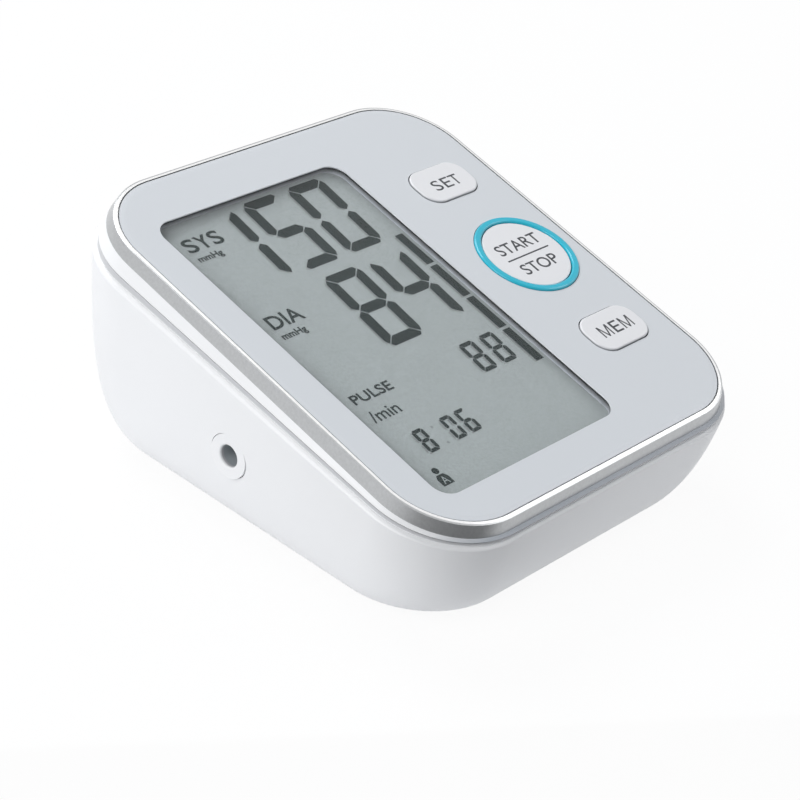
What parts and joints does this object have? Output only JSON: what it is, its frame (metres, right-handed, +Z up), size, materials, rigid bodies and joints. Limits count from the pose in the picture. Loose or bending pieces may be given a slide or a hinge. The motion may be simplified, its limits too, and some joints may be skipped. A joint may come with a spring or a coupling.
{
  "type": "blood pressure monitor",
  "caption": "Wedge-shaped desktop blood pressure monitor with a sloping display panel, three keys, a side socket for a cuff hose, and its pump, valve, board and cells inside.",
  "frame": {"origin": "on the table under the middle of the case, at the height of the feet's undersides", "axes": "+Z up, +Y towards the tall back, +X to the right of a person who reads the display"},
  "size_m": [0.1136, 0.1222, 0.0589],
  "materials": {
    "case": "fine matt moulded surface, white",
    "bezel": "satin silver coating",
    "panel": "glossy, pale blue-grey",
    "lens": "clear, polished",
    "display": "grey-green liquid crystal cell with dark segments",
    "reflector": "matt white sheet",
    "foam": "dark closed-cell foam",
    "silicone": "translucent silicone",
    "seal": "soft grey sleeve",
    "inner_plastic": "moulded, natural white",
    "socket": "moulded, light grey",
    "turquoise": "glossy turquoise",
    "keys": "satin, cool white, with printed words",
    "board": "green solder mask",
    "black_plastic": "moulded, black",
    "switch_plunger": "moulded, dark grey",
    "connector": "moulded, ivory",
    "capacitor": "sleeved can",
    "steel": "plated",
    "shaft_steel": "ground",
    "magnet": "sintered, dark",
    "copper": "enamelled copper winding",
    "cell": "printed film sleeve with no name",
    "rubber_grey": "soft grey rubber",
    "wire_red": "sleeved wire"
  },
  "bodies": {
    "housing": {"lower_case": "case", "upper_case": "case", "silver_bezel": "bezel", "fascia_plate": "panel", "window_lens": "lens", "display_gasket": "foam", "lcd_glass": "display", "lcd_reflector": "reflector", "lcd_holder": "inner_plastic", "zebra_strips": "silicone", "start_ring": "turquoise", "main_board": "board", "tact_switches": "black_plastic", "board_screws": "steel", "control_chip": "black_plastic", "clock_crystal": "steel", "board_capacitors": "capacitor", "board_connectors": "connector", "piezo_buzzer": "black_plastic", "pressure_sensor": "black_plastic", "batteries": "cell", "battery_springs": "steel", "battery_plates": "steel", "air_jack": "socket", "jack_cap": "case", "jack_seal": "seal", "air_manifold": "inner_plastic", "jack_hose": "silicone", "valve_hose": "silicone", "pump_hose": "silicone", "sensor_hose": "silicone", "pump_head": "black_plastic", "pump_motor": "steel", "pump_motor_cap": "black_plastic", "pump_sleeve": "foam", "pump_magnets": "magnet", "pump_diaphragm": "silicone", "pump_wobble_plate": "inner_plastic", "valve_body": "inner_plastic", "valve_coil": "copper", "valve_yoke": "steel", "valve_spring": "steel", "dc_inlet": "black_plastic", "rubber_feet": "rubber_grey", "case_screws": "steel", "battery_leads": "wire_red", "adapter_leads": "wire_red", "valve_leads": "wire_red", "pump_leads": "wire_red"},
    "start_key": {"start_button": "keys", "start_switch_plunger": "switch_plunger"},
    "set_key": {"set_button": "keys", "set_switch_plunger": "switch_plunger"},
    "mem_key": {"mem_button": "keys", "mem_switch_plunger": "switch_plunger"},
    "door": {"battery_door": "case"},
    "rotor": {"pump_shaft": "shaft_steel", "pump_armature": "copper"},
    "valve_core": {"valve_plunger": "shaft_steel"}
  },
  "joints": [
    {"name": "start_press", "type": "slide", "parent": "housing", "child": "start_key", "axis": [0, 0.2419, -0.9703], "range_m": [0, 0.0005], "stiffness_N_per_m": 1500},
    {"name": "set_press", "type": "slide", "parent": "housing", "child": "set_key", "axis": [0, 0.2419, -0.9703], "range_m": [0, 0.0005], "stiffness_N_per_m": 1500},
    {"name": "mem_press", "type": "slide", "parent": "housing", "child": "mem_key", "axis": [0, 0.2419, -0.9703], "range_m": [0, 0.0005], "stiffness_N_per_m": 1500},
    {"name": "door_hinge", "type": "hinge", "parent": "housing", "child": "door", "pos_m": [0, 0.0149, 0.0008], "axis": [1, 0, 0], "range_deg": [0, 50]},
    {"name": "rotor_spin", "type": "hinge", "parent": "housing", "child": "rotor", "pos_m": [0.0005, 0.03603, 0.0214], "axis": [1, 0, 0], "continuous": true},
    {"name": "valve_stroke", "type": "slide", "parent": "housing", "child": "valve_core", "axis": [0, -1, 0], "range_m": [0, 0.0008], "stiffness_N_per_m": 100}
  ]
}
